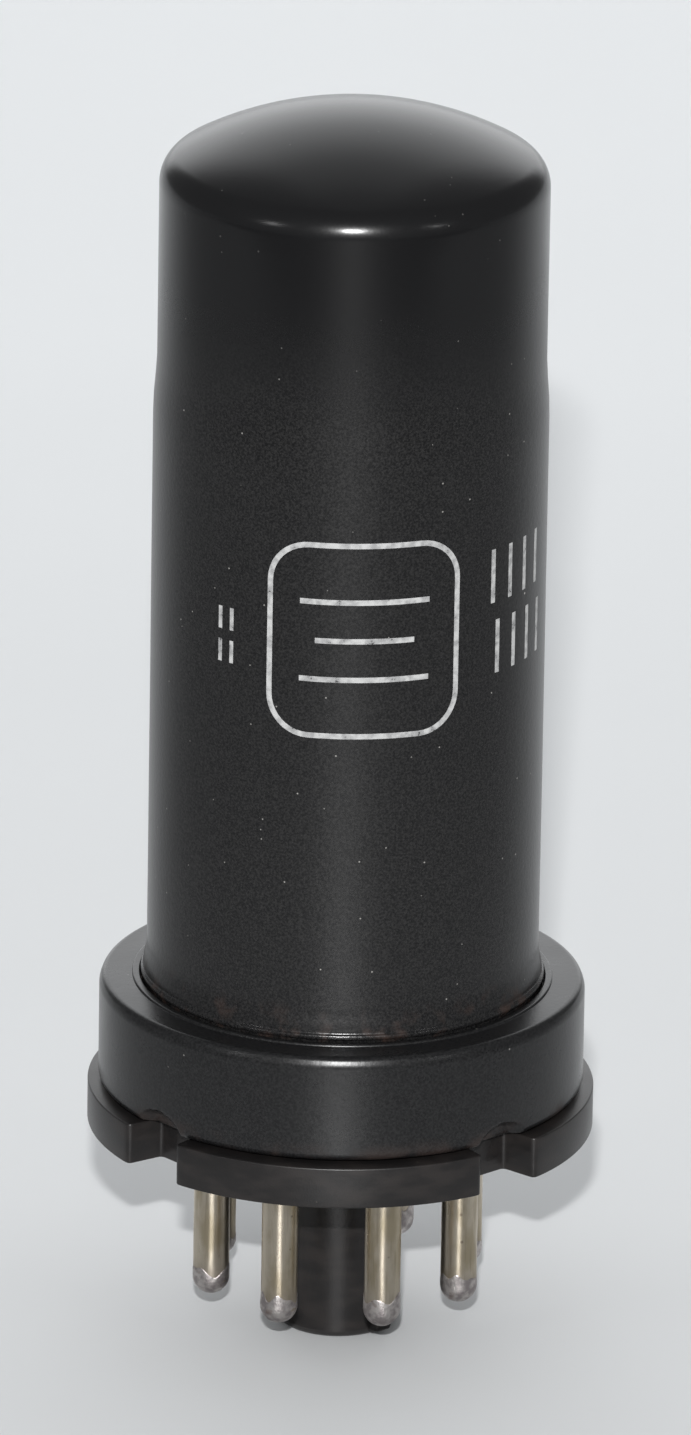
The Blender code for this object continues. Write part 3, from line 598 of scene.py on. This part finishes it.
FINISHES = {
    "header_steel": worn_metal("header_steel", (0.48, 0.47, 0.46), (0.2, 0.18, 0.16), 0.34, (1, 1, 1), 0.6),
    "copper_wire": worn_metal("copper_wire", (0.85, 0.42, 0.27), (0.3, 0.12, 0.08), 0.26, (1, 1, 0.1), 0.6),
    "eyelet_alloy": worn_metal("eyelet_alloy", (0.5, 0.49, 0.46), (0.22, 0.21, 0.2), 0.3, (1, 1, 0.2)),
    "seal_glass": seal_glass(),
    "mica": mica_sheet(),
    "nickel": worn_metal("bright_nickel", (0.66, 0.62, 0.56), (0.34, 0.3, 0.26), 0.24, (1, 1, 0.15)),
    "carbonised_nickel": carbonised_nickel(),
    "grid_wire": worn_metal("grid_wire", (0.6, 0.58, 0.55), (0.3, 0.28, 0.26), 0.2, (1, 1, 0.3), 0.4),
    "cathode_oxide": sprayed_powder("cathode_oxide", (0.86, 0.85, 0.81), (0.74, 0.72, 0.67), 0.06 * mm),
    "heater_alumina": sprayed_powder("heater_alumina", (0.83, 0.82, 0.79), (0.68, 0.66, 0.63), 0.05 * mm),
}


# ---------------------------------------------------------------- shell and skirt


def wall_radius(z):
    """Outer radius of the shell's straight wall, which narrows softly at the step."""
    share = smooth(z, STEP_Z - STEP_HEIGHT / 2, STEP_Z + STEP_HEIGHT / 2)
    return SHELL_RADIUS + (SHELL_UPPER_RADIUS - SHELL_RADIUS) * share


def dome(wall, edge, top_z, steps):
    """The shoulder's arc and the crown's arc that is tangent to it, from the wall to the axis."""
    reach = wall - edge
    rise = top_z - SHOULDER_Z
    crown = (rise**2 + reach**2 - edge**2) / (2 * (rise - edge))
    crown_z = top_z - crown
    meet = atan2(SHOULDER_Z - crown_z, reach) * 180 / pi
    points = arc((reach, SHOULDER_Z), edge, 0, meet, steps)
    points += arc((0, crown_z), crown, meet, 90, steps)[1:]
    return points[:-1] + [(0, top_z)]


def bead():
    """The foot's rolled bead and the flare over it, from the skirt's lip up to the straight wall."""
    swell = BEAD_RADIUS - SHELL_NECK_RADIUS
    points = [(SHELL_NECK_RADIUS, SKIRT_TOP_Z)]
    for turn in range(-80, 71, 15):
        out = swell * cos(radians(turn))
        points.append((SHELL_NECK_RADIUS + out, BEAD_Z + BEAD_HALF_HEIGHT * sin(radians(turn))))
    rows = 12
    for i in range(rows + 1):
        z = FLARE_START_Z + (BEAD_TOP_Z - FLARE_START_Z) * i / rows
        share = smooth(z, FLARE_START_Z, BEAD_TOP_Z)
        points.append((SHELL_NECK_RADIUS + (SHELL_RADIUS - SHELL_NECK_RADIUS) * share, z))
    return points


def shell():
    """The drawn can with its flange, rolled bead, step, shoulder and crown, open at the foot."""
    flange_top = SHELL_FOOT_Z + FLANGE
    flange = rounded(
        [
            (SHELL_RADIUS - SHELL_WALL, SHELL_FOOT_Z, 0),
            (SHELL_FLANGE_RADIUS, SHELL_FOOT_Z, 0.15 * mm),
            (SHELL_FLANGE_RADIUS, flange_top, 0.15 * mm),
            (SHELL_NECK_RADIUS, flange_top, 0.1 * mm),
            (SHELL_NECK_RADIUS, SKIRT_TOP_Z, 0),
        ]
    )
    rows = 40
    levels = [BEAD_TOP_Z + (SHOULDER_Z - BEAD_TOP_Z) * i / rows for i in range(1, rows)]
    outer = flange[:-1] + bead() + [(wall_radius(z), z) for z in levels]
    outer += dome(SHELL_UPPER_RADIUS, SHOULDER_RADIUS, SHELL_TOP_Z, 14)
    inner = dome(SHELL_UPPER_RADIUS - SHELL_WALL, SHOULDER_RADIUS - SHELL_WALL, SHELL_TOP_Z - SHELL_WALL, 8)
    inner = inner[::-1] + [(wall_radius(z) - SHELL_WALL, z) for z in levels[::-4]]

    def waved(radius, angle, z):
        place = around(angle, 1.6, z / (9 * mm))
        share = smooth(z, BEAD_TOP_Z, BEAD_TOP_Z + 4 * mm)
        return radius + WAVINESS * noise.noise(place) * share, z

    bm = turned(outer + inner, even(ROUND), shape=waved)
    return fit_out(mesh_object("shell_can", bm), shell_enamel(), ["shell"])


def skirt_angles():
    """Angles round the skirt, close together in the crimps."""
    near = radians(12)
    fine = 60
    coarse = 44
    found = []
    for centre in NOTCH_ANGLES:
        found += [centre - near + 2 * near * i / fine for i in range(fine)]
        found += [centre + near + (pi / 2 - 2 * near) * i / coarse for i in range(coarse)]
    return found


def crimped(radius, angle, z):
    """Presses the skirt's wall in over each notch, in an arch that is widest at the lower edge."""
    off = (angle - KEY_ANGLE + pi / 4) % (pi / 2) - pi / 4
    height = z - SKIRT_BOTTOM_Z
    if height > CRIMP_HEIGHT * 1.2 or radius < SKIRT_LIP_RADIUS + 1 * mm:
        return radius, z
    ring = hypot(off * SKIRT_RADIUS / CRIMP_HALF_WIDTH, height / CRIMP_HEIGHT)
    share = 1 - smooth(ring, 0.72, 1.04)
    return radius - CRIMP_DEPTH * share, z - 0.12 * mm * share


def skirt():
    """The drawn ring with its rounded shoulder, the raised rim of its hole and the four crimps."""
    inside = SKIRT_RADIUS - SKIRT_WALL
    under_z = SKIRT_TOP_Z - SKIRT_WALL
    levels = [SKIRT_BOTTOM_Z + 1.75 * mm * i / 14 for i in range(15)]
    top = rounded(
        [
            (SKIRT_RADIUS, SKIRT_BEND_Z, 0),
            (SKIRT_RADIUS, SKIRT_TOP_Z - 0.62 * mm, 1.0 * mm),
            (SKIRT_RADIUS - 0.25 * mm, SKIRT_TOP_Z, 0.45 * mm),
            (SKIRT_LIP_RADIUS + 0.52 * mm, SKIRT_TOP_Z, 0.05 * mm),
            (SKIRT_LIP_RADIUS + 0.48 * mm, SKIRT_TOP_Z + LIP_RISE, 0.12 * mm),
            (SKIRT_LIP_RADIUS, SKIRT_TOP_Z + LIP_RISE, 0.12 * mm),
            (SKIRT_LIP_RADIUS, under_z, 0.1 * mm),
            (inside, under_z, 0.4 * mm),
            (inside, SKIRT_BEND_Z, 0),
        ],
        steps=8,
    )
    low_edge = rounded(
        [
            (inside, levels[1], 0),
            (inside, levels[0], 0.2 * mm),
            (SKIRT_RADIUS, levels[0], 0.5 * mm),
            (SKIRT_RADIUS, levels[1] + 0.5 * mm, 0),
        ],
        steps=4,
    )
    outer = [(SKIRT_RADIUS, z) for z in levels if z > levels[1] + 0.51 * mm]
    inner = [(inside, z) for z in levels[::-1] if z > levels[1]]
    bm = turned(low_edge + outer + top + inner, skirt_angles(), shape=crimped)
    return fit_out(mesh_object("skirt_ring", bm), skirt_enamel(), ["header_skirt"])


# ---------------------------------------------------------------- base and pins


def notched_outline(rim):
    """The wafer's plan: a circle with four notches whose corners are rounded."""
    points = []
    for centre in NOTCH_ANGLES:
        corners = [around(centre - NOTCH_HALF_ANGLE - 0.1, rim)]
        for side in (-1, 1):
            radii = (rim, NOTCH_FLOOR_RADIUS)[::-side]
            corners += [around(centre + side * NOTCH_HALF_ANGLE, radius) for radius in radii]
        corners.append(around(centre + NOTCH_HALF_ANGLE + 0.1, rim))
        soft = (0, 0.35 * mm, 0.3 * mm, 0.3 * mm, 0.35 * mm, 0)
        points += rounded([(c.x, c.y, r) for c, r in zip(corners, soft)], steps=4)[1:-1]
        start = centre + NOTCH_HALF_ANGLE + 0.04
        span = pi / 2 - 2 * (NOTCH_HALF_ANGLE + 0.04)
        rim_points = [around(start + span * i / 36, rim) for i in range(37)]
        points += [(p.x, p.y) for p in rim_points]
    return points


def inset(outline, distance):
    """The outline moved inwards by that distance along its normals."""
    moved = []
    for i, point in enumerate(outline):
        before = Vector(outline[i - 1])
        after = Vector(outline[(i + 1) % len(outline)])
        along = (after - before).normalized()
        moved.append((point[0] - along.y * distance, point[1] + along.x * distance))
    return moved


def moulded_disc(outline, low, high, edge):
    """A disc of that outline with both of its edges rounded."""
    rows = [(edge * (1 - sin(radians(t))), low + edge * (1 - cos(radians(t)))) for t in (0, 30, 60, 90)]
    rows += [(distance, low + high - z) for distance, z in rows[::-1]]
    return lofted([[(x, y, z) for x, y in inset(outline, d)] for d, z in rows])


def octal_base():
    """The moulding: notched wafer, boss, plug with its key rib, and the holes for the pins."""
    outline = notched_outline(WAFER_RADIUS)
    base = mesh_object("moulded_base", moulded_disc(outline, SEAT_Z, WAFER_TOP_Z, 0.1 * mm))

    boss = turned(
        rounded(
            [
                (0, SEAT_Z + 1 * mm, 0),
                (BOSS_RADIUS, SEAT_Z + 1 * mm, 0),
                (BOSS_RADIUS, BOSS_TOP_Z, 0.3 * mm),
                (0, BOSS_TOP_Z, 0),
            ]
        ),
        even(ROUND),
        closed=False,
    )
    boss_block = mesh_object("boss_block", boss)
    for centre in NOTCH_ANGLES:
        cut = [
            around(centre - NOTCH_HALF_ANGLE, NOTCH_FLOOR_RADIUS),
            around(centre, NOTCH_FLOOR_RADIUS * 1.006),
            around(centre + NOTCH_HALF_ANGLE, NOTCH_FLOOR_RADIUS),
            around(centre + NOTCH_HALF_ANGLE, WAFER_RADIUS * 1.1),
            around(centre - NOTCH_HALF_ANGLE, WAFER_RADIUS * 1.1),
        ]
        combine(boss_block, prism([(c.x, c.y) for c in cut], SEAT_Z - 1 * mm, NOTCH_TOP_Z), "DIFFERENCE")
    grow(base, boss_block)

    plug = turned(
        rounded(
            [
                (0, 0, 0),
                (PLUG_RADIUS, 0, PLUG_EDGE),
                (PLUG_RADIUS, SEAT_Z - 0.02 * mm, 0.35 * mm),
                (PLUG_RADIUS + 1.2 * mm, SEAT_Z - 0.02 * mm, 0),
                (PLUG_RADIUS + 1.2 * mm, SEAT_Z + 1 * mm, 0),
                (0, SEAT_Z + 1 * mm, 0),
            ],
            steps=8,
        ),
        even(96),
        closed=False,
    )
    combine(base, plug, "UNION")
    combine(base, key_rib(), "UNION")
    bore = [
        (0, PLUG_FLOOR, 0),
        (PLUG_BORE_RADIUS, PLUG_FLOOR, 0.6 * mm),
        (PLUG_BORE_RADIUS, BOSS_TOP_Z + 1 * mm, 0),
        (0, BOSS_TOP_Z + 1 * mm, 0),
    ]
    combine(base, turned(rounded(bore), even(72), closed=False), "DIFFERENCE")
    for place in PIN_PLACES.values():
        hole = [(0, -1), (PIN_RADIUS + CLEAR, -1), (PIN_RADIUS + CLEAR, 1), (0, 1)]
        hole = [(r, SEAT_Z + (BOSS_TOP_Z - SEAT_Z) * (0.5 + side)) for r, side in hole]
        cutter = turned(hole, even(PIN_SIDES), closed=False)
        bmesh.ops.translate(cutter, verts=cutter.verts, vec=(place.x, place.y, 0))
        combine(base, cutter, "DIFFERENCE")
    base.data.shade_smooth()
    base.data.set_sharp_from_angle(angle=radians(35))
    return fit_out(base, phenolic(), ["octal_base"])


def grow(obj, other):
    """Joins another object on, and removes it."""
    bm = bmesh.new()
    bm.from_mesh(other.data)
    bpy.data.objects.remove(other)
    combine(obj, bm, "UNION")


def key_rib():
    """The rib that lets the plug into its socket in one position only, with a rounded nose and lower end."""
    root = PLUG_RADIUS - 0.5 * mm
    half = RIB_WIDTH / 2
    corners = [
        (-half, -root, 0),
        (-half, -RIB_REACH, 0.3 * mm),
        (half, -RIB_REACH, 0.3 * mm),
        (half, -root, 0),
    ]
    plan = rounded(corners, closed=True)
    rows = []
    steps = ((0.35 * mm, 0.3 * mm), (0.12 * mm, 0.42 * mm), (0, 0.75 * mm), (0, SEAT_Z + 0.5 * mm))
    for shrink, z in steps:
        rows.append([(x, -root + (y + root) * (1 - shrink * 1.2 / (RIB_REACH - root)), z) for x, y in plan])
    bm = lofted(rows)
    bmesh.ops.rotate(bm, verts=bm.verts, matrix=Matrix.Rotation(KEY_ANGLE, 3, "Z"))
    return bm


def pin(number, finish):
    """A drawn pin with a flanged head over the boss, a fine seam and a drawn-in end inside the solder."""
    place = PIN_PLACES[number]
    head_z = PIN_HEAD_TOP_Z - PIN_HEAD
    profile = rounded(
        [
            (PIN_BORE_RADIUS, PIN_END_Z, 0),
            (PIN_RADIUS - 0.17 * mm, PIN_END_Z, 0.05 * mm),
            (PIN_RADIUS, PIN_END_Z + 0.42 * mm, 0.25 * mm),
            (PIN_RADIUS, head_z - CLEAR, 0.1 * mm),
            (PIN_HEAD_RADIUS, head_z, 0.08 * mm),
            (PIN_HEAD_RADIUS, PIN_HEAD_TOP_Z, 0.12 * mm),
            (PIN_BORE_RADIUS, PIN_HEAD_TOP_Z, 0.2 * mm),
        ]
    )
    levels = [PIN_END_Z + 1.2 * mm + 8.5 * mm * i / 12 for i in range(13)]
    split = next(i for i, (_, z) in enumerate(profile) if z > levels[-1])
    profile[split:split] = [(PIN_RADIUS, z) for z in levels]
    seam = angle_of(place) + pi

    def seamed(radius, angle, z):
        off = (angle - seam + pi) % (2 * pi) - pi
        groove = 0.03 * mm * max(0, 1 - abs(off) / 0.12)
        ripple = 0.008 * mm * noise.noise(Vector((number * 7, z / (1.5 * mm), 2 * cos(angle))))
        on_tube = radius > PIN_BORE_RADIUS + 0.2 * mm
        return radius + (ripple - groove if on_tube else 0), z

    bm = turned(profile, even(PIN_SIDES), shape=seamed)
    bmesh.ops.translate(bm, verts=bm.verts, vec=(place.x, place.y, 0))
    obj = mesh_object(f"drawn_pin_{number}", bm)
    return fit_out(obj, finish, [f"base_pin_{number}"])


def solder_tip(number, finish):
    """The solder that closes a pin: a round, slightly lumpy end whose film runs a little way up the pin."""
    place = PIN_PLACES[number]
    outer = PIN_RADIUS + FILM
    cap_top_z = SOLDER_TIP_Z + SOLDER_CAP
    profile = []
    for turn in (0, 12, 24, 36, 48, 60, 70, 80, 90):
        profile.append((outer * sin(radians(turn)), SOLDER_TIP_Z + SOLDER_CAP * (1 - cos(radians(turn)))))
    rim_z = cap_top_z + SOLDER_BAND
    profile += [
        (outer, rim_z - 0.1 * mm),
        (outer - FILM * 0.5, rim_z - 0.02 * mm),
        (PIN_RADIUS + 0.001 * mm, rim_z),
        (PIN_RADIUS + 0.001 * mm, PIN_END_Z + 0.5 * mm),
        (PIN_RADIUS - 0.16 * mm, PIN_END_Z - 0.02 * mm),
        (PIN_BORE_RADIUS - 0.03 * mm, PIN_END_Z - 0.02 * mm),
        (PIN_BORE_RADIUS - 0.03 * mm, SOLDER_FILL_Z),
        (0.3 * mm, SOLDER_FILL_Z - 0.15 * mm),
        (0, SOLDER_FILL_Z - 0.15 * mm),
    ]

    def lumpy(radius, angle, z):
        where = Vector((number * 5.3, sin(angle), cos(angle)))
        run = SOLDER_RUN * noise.noise(where * 1.3) * smooth(z, cap_top_z, rim_z)
        on_cap = radius > PIN_BORE_RADIUS + 0.05 * mm or z < PIN_END_Z - 0.1 * mm
        lump = 0.05 * mm * noise.noise(where * 1.7 + Vector((0, 0, z / (0.5 * mm))))
        lump *= smooth(rim_z - z, 0.1 * mm, 0.7 * mm)
        if not on_cap or radius < PIN_RADIUS and z > PIN_END_Z - 0.05 * mm:
            return radius, z
        on_film = radius > PIN_RADIUS - 0.01 * mm and z > cap_top_z
        return radius + lump, z + (run if on_film else 0)

    bm = turned(profile, even(PIN_SIDES), closed=False, shape=lumpy)
    bmesh.ops.translate(bm, verts=bm.verts, vec=(place.x, place.y, 0))
    obj = mesh_object(f"solder_tip_{number}", bm, 60)
    return fit_out(obj, finish, [f"pin_solder_{number}"])


# ---------------------------------------------------------------- printed mark


def divided(path, reach=0.25 * mm):
    """The path with points added, so that no part of it is longer than that."""
    points = [Vector(path[0])]
    for start, end in zip(path, path[1:]):
        parts = ceil((Vector(end) - Vector(start)).length / reach)
        points += [Vector(start).lerp(Vector(end), i / parts) for i in range(1, parts + 1)]
    return points


def stroke(bm, path, width, closed=False):
    """Adds one inked line on the shell, along (across, up) points measured from the mark's middle."""
    path = divided(path + path[:1])[:-1] if closed else divided(path)
    last = len(path) - 1
    sections = []
    for i, here in enumerate(path):
        after = path[(i + 1) % len(path)] if closed or i < last else here
        before = path[i - 1] if closed or i > 0 else here
        along = (after - before).normalized()
        side = Vector((-along.y, along.x)) * width / 2
        corners = []
        for lift, edge in ((0.008 * mm, side), (0.008 * mm, -side), (-0.1 * mm, -side), (-0.1 * mm, side)):
            across, up = here + edge
            z = MARK_Z + up
            radius = wall_radius(z) + WAVINESS * 0.4 + lift
            corners.append(bm.verts.new(around(MARK_ANGLE + across / SHELL_RADIUS, radius, z)))
        sections.append(corners)
    stitched = list(zip(sections, sections[1:]))
    if closed:
        stitched.append((sections[-1], sections[0]))
    else:
        bm.faces.new(sections[0])
        bm.faces.new(sections[-1])
    for first, second in stitched:
        for i in range(4):
            bm.faces.new((first[i - 1], first[i], second[i], second[i - 1]))


def printed_mark():
    """A plain white label: a framed panel with three rules, dashes at its left and bars at its right."""
    bm = bmesh.new()
    x, y, radius = 6.2 * mm, 6.4 * mm, 2.6 * mm
    panel = [(x, y, radius), (-x, y, radius), (-x, -y, radius), (x, -y, radius)]
    stroke(bm, rounded(panel, closed=True, steps=10), STROKE, closed=True)
    for up, reach in ((2.6 * mm, 4.2 * mm), (0, 3.2 * mm), (-2.6 * mm, 4.2 * mm)):
        stroke(bm, [(-reach, up), (reach, up)], STROKE)
    for up in (1.3 * mm, -0.9 * mm):
        for across in (-9.9 * mm, -9.0 * mm):
            stroke(bm, [(across, up), (across, up - 1.5 * mm)], STROKE * 0.8)
    for row, up in enumerate((5.0 * mm, 0.2 * mm)):
        for bar in range(4):
            across = (9.2 + 1.7 * bar + 0.5 * row) * mm
            stroke(bm, [(across, up), (across, up - 3.6 * mm)], STROKE)
    bmesh.ops.recalc_face_normals(bm, faces=bm.faces)
    return fit_out(mesh_object("printed_label", bm), printing_ink())


# ---------------------------------------------------------------- inner pieces


def inner_finishes():
    """Every node that is kept from the frame gets the finish of its slot."""
    slots = {part["node"]: part["material_slot"] for part in frame["record"]["subparts"]}
    for name, obj in frame["nodes"].items():
        finish = FINISHES.get(slots.get(name))
        if finish:
            obj.data.materials.clear()
            obj.data.materials.append(finish)


# ---------------------------------------------------------------- studio


def camera():
    """A long lens from a little above, with the tube leaning slightly to the right."""
    back = around(CAMERA_ANGLE, cos(CAMERA_ELEVATION), sin(CAMERA_ELEVATION))
    level = (-back).to_track_quat("-Z", "Y")
    aim = CAMERA_TARGET - level @ CAMERA_SHIFT
    data = bpy.data.cameras.new("camera")
    data.lens = LENS
    data.sensor_width = 36
    data.clip_start = 0.05
    data.clip_end = 20
    obj = bpy.data.objects.new("camera", data)
    obj.location = CAMERA_TARGET + back * CAMERA_DISTANCE
    turn = (aim - obj.location).to_track_quat("-Z", "Y") @ Quaternion((0, 0, 1), CAMERA_LEAN)
    obj.rotation_mode = "QUATERNION"
    obj.rotation_quaternion = turn
    bpy.context.scene.collection.objects.link(obj)
    bpy.context.scene.camera = obj
    return obj


def area_light(name, place, target, size, watts):
    data = bpy.data.lights.new(name, "AREA")
    data.shape = "RECTANGLE"
    data.size, data.size_y = size
    data.energy = watts
    obj = bpy.data.objects.new(name, data)
    obj.location = place
    obj.rotation_mode = "QUATERNION"
    obj.rotation_quaternion = (Vector(target) - obj.location).to_track_quat("-Z", "Y")
    bpy.context.scene.collection.objects.link(obj)
    return obj


def sheet(name, size, z, finish):
    """A flat square of the stage, level and centred under the tube."""
    bm = bmesh.new()
    half = size / 2
    corners = [(-half, -half, z), (half, -half, z), (half, half, z), (-half, half, z)]
    bm.faces.new([bm.verts.new(corner) for corner in corners])
    obj = mesh_object(name, bm)
    obj.data.materials.append(finish)
    return obj


def graded_card():
    """A card of painted reflection shade just over the floor that only reflections see, so that the shell's
    front stays dark.
    """
    card = sheet("graded_card", 3.4, 0.5 * mm, card_paint())
    card.visible_camera = False
    card.visible_diffuse = False
    card.visible_shadow = False
    card.visible_transmission = False
    card.visible_volume_scatter = False


def world_light():
    """A bright backdrop that fades overhead and to the front. The camera itself sees one even grey."""
    world = bpy.data.worlds.new("studio")
    world.use_nodes = True
    bpy.context.scene.world = world
    w = Recipe(world.node_tree)
    x, y, z = w.parts(w.node("TexCoord", output="Generated"))
    stops = [(0.0, 0.92), (0.342, 1.0), (0.5, 0.8), (0.616, 0.71), (0.719, 0.5), (0.799, 0.29)]
    stops += [(0.866, 0.25), (0.914, 0.17), (0.951, 0.045), (1.0, 0.035)]
    height = w.node("ValToRGB", {"stops": stops}, {0: z})
    aside = (x.maths("ARCTAN2", x, y) + CAMERA_ANGLE).size()
    behind = aside.rise(radians(33), radians(21))
    strength = 1.42 * height * behind + 0.13
    spread = w.node("LightPath", output="Is Diffuse Ray")
    strength = strength + 0.44 * spread
    seen = w.node("LightPath", output="Is Camera Ray")
    strength = strength + seen * (0.8 - strength)
    background = world.node_tree.nodes["Background"]
    w.feed(background.inputs["Color"], (0.97, 0.985, 1.0))
    w.feed(background.inputs["Strength"], strength)


def studio():
    """A pale sheet, its card, a soft backdrop, a small flash over the lens and a faint light at each side."""
    cam = camera()
    sheet("floor", 6.0, 0.0, floor_paint())
    graded_card()
    world_light()
    flash_place = cam.location + cam.rotation_quaternion @ FLASH_OFFSET
    area_light("flash", flash_place, LIGHT_TARGET, (25 * mm, 12 * mm), FLASH_WATTS)
    for side, watts in ((-1, 0.25), (1, 0.15)):
        place = around(CAMERA_ANGLE + side * SIDE_LIGHT_TURN, 0.9, 0.45)
        area_light(f"side_light_{side}", place, LIGHT_TARGET, (60 * mm, 60 * mm), watts)
    bpy.context.scene.view_settings.view_transform = "Standard"


def build():
    studio()
    shell()
    skirt()
    octal_base()
    brass = plated_brass()
    solder = tin_solder()
    for number in PIN_NUMBERS:
        pin(number, brass)
        solder_tip(number, solder)
    printed_mark()
    inner_finishes()


build()
